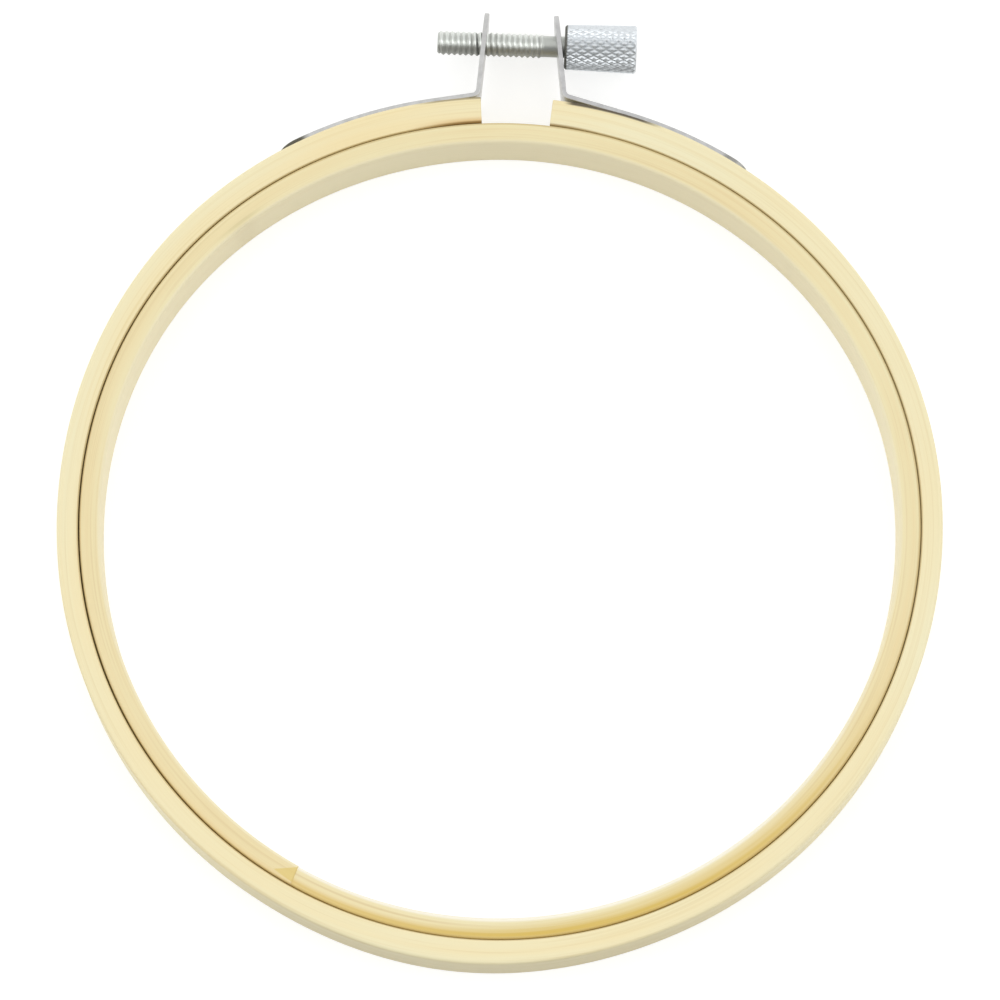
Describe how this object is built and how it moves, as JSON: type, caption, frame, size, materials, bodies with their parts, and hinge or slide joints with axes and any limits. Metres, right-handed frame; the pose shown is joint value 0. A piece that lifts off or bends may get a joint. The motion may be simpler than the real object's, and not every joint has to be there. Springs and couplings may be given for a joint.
{
  "type": "embroidery hoop",
  "caption": "Round bamboo embroidery hoop: an inner ring held in a split outer ring, closed by a knurled clamp screw through bent metal lugs.",
  "frame": {"origin": "centre of the inner ring's bore, at mid-height of the bands", "axes": "+Z along the hoop's axis, square to the cloth; +Y from the centre to the clamp; +X along the clamp screw, towards its knob"},
  "size_m": [0.1494, 0.1669, 0.01],
  "materials": {
    "bamboo_inner": "planed bamboo, unvarnished",
    "bamboo_outer": "planed bamboo, unvarnished",
    "bracket_steel": "zinc plated, rolled sheet",
    "nail_steel": "zinc plated",
    "screw_steel": "zinc plated thread",
    "knob_steel": "zinc plated, diamond knurled"
  },
  "bodies": {
    "outer_side": {"outer_ring": "bamboo_outer", "plain_bracket": "bracket_steel", "plain_bracket_nails": "nail_steel"},
    "threaded_side": {"threaded_bracket": "bracket_steel", "threaded_bracket_nails": "nail_steel"},
    "screw_and_knob": {"clamp_screw": "screw_steel", "clamp_knob": "knob_steel"},
    "inner_side": {"inner_ring": "bamboo_inner"}
  },
  "joints": [
    {"name": "screw_turn", "type": "hinge", "parent": "outer_side", "child": "screw_and_knob", "pos_m": [0, 0.0869, 0], "axis": [1, 0, 0], "range_deg": [0, 2160]},
    {"name": "clamp_open", "type": "slide", "parent": "outer_side", "child": "threaded_side", "axis": [-1, 0, 0], "range_m": [0, 0.00588], "deforming": ["outer_ring"]},
    {"name": "inner_ring_lift", "type": "slide", "parent": "outer_side", "child": "inner_side", "axis": [0, 0, 1], "range_m": [0, 0.02]}
  ],
  "couplings": [
    {"joint": "screw_turn", "follows": "clamp_open", "rad_per_m": 6411.4}
  ]
}
